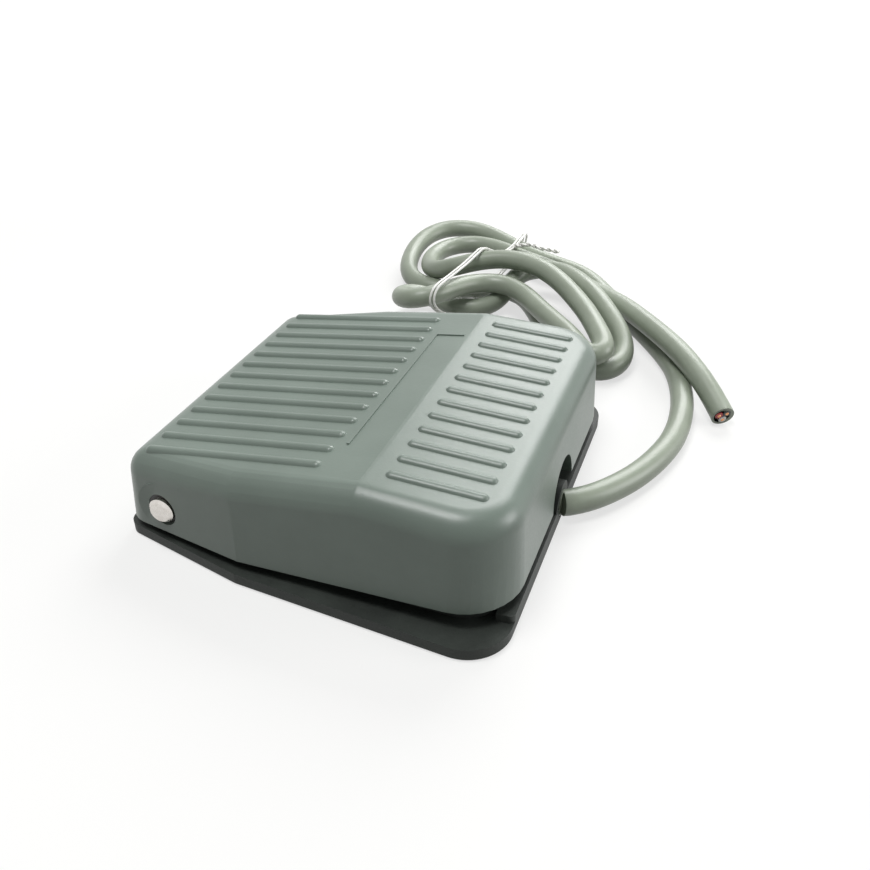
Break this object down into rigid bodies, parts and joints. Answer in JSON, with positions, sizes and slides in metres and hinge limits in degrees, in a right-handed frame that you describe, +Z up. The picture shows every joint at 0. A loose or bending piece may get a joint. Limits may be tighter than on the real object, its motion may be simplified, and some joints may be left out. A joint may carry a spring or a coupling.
{
  "type": "foot switch",
  "caption": "Industrial foot switch: a ribbed die-cast pedal hinged on a cast base, with a snap switch, return springs and a three-core cable tied in a hank.",
  "frame": {"origin": "centre of the footprint of the base, on the floor under the feet", "axes": "+Z up; +X from the hinge end to the cable end; +Y across the pedal, away from the side where the pin end shows in the picture view"},
  "size_m": [0.1361, 0.2064, 0.0323],
  "materials": {
    "cover_paint": "satin grey-green paint on a die casting",
    "base_paint": "satin dark grey paint on a casting",
    "pin_steel": "turned steel",
    "zinc_steel": "zinc plated steel",
    "spring_steel": "drawn wire",
    "lever_steel": "rolled strip",
    "black_plastic": "moulded",
    "switch_black": "moulded",
    "plunger_red": "moulded",
    "tab_brass": "stamped",
    "sheet_tan": "cut sheet",
    "foot_rubber": "moulded",
    "cable_sheath": "extruded pale grey-green PVC",
    "core_red": "extruded PVC",
    "core_black": "extruded PVC",
    "core_white": "extruded PVC",
    "tie_white": "plastic coated wire"
  },
  "bodies": {
    "base": {"base_casting": "base_paint", "rubber_feet": "foot_rubber", "hinge_pin": "pin_steel", "pin_clips": "zinc_steel", "return_springs": "spring_steel", "switch_case": "switch_black", "switch_cover": "switch_black", "lever_pin": "zinc_steel", "common_terminal": "tab_brass", "open_terminal": "tab_brass", "closed_terminal": "tab_brass", "insulating_sheet": "sheet_tan", "switch_screws": "zinc_steel", "switch_nuts": "zinc_steel", "cable_clamp": "zinc_steel", "clamp_screws": "zinc_steel", "sheath_in_base": "cable_sheath", "red_wire": "core_red", "black_wire": "core_black", "white_wire": "core_white", "cable_lead": "cable_sheath", "cable_hank": "cable_sheath", "cable_tail": "cable_sheath", "red_core_end": "core_red", "black_core_end": "core_black", "white_core_end": "core_white", "twist_tie": "tie_white"},
    "pedal": {"pedal_cover": "cover_paint", "pin_bushes": "black_plastic", "adjusting_screw": "zinc_steel", "lock_nut": "zinc_steel"},
    "lever": {"switch_lever": "lever_steel"},
    "plunger": {"switch_plunger": "plunger_red"}
  },
  "joints": [
    {"name": "pedal_hinge", "type": "hinge", "parent": "base", "child": "pedal", "pos_m": [-0.0369, 0, 0.0114], "axis": [0, 1, 0], "range_deg": [0, 1.5], "stiffness_Nm_per_rad": 15, "springref_deg": -2.29, "deforming": ["return_springs"]},
    {"name": "lever_hinge", "type": "hinge", "parent": "base", "child": "lever", "pos_m": [-0.007, 0, 0.0214], "axis": [0, 1, 0], "range_deg": [0, 5.1]},
    {"name": "plunger_slide", "type": "slide", "parent": "base", "child": "plunger", "axis": [0, 0, -1], "range_m": [0, 0.00067]}
  ],
  "couplings": [
    {"joint": "lever_hinge", "follows": "pedal_hinge", "ratio": 3.392},
    {"joint": "plunger_slide", "follows": "pedal_hinge", "m_per_rad": 0.0251}
  ]
}
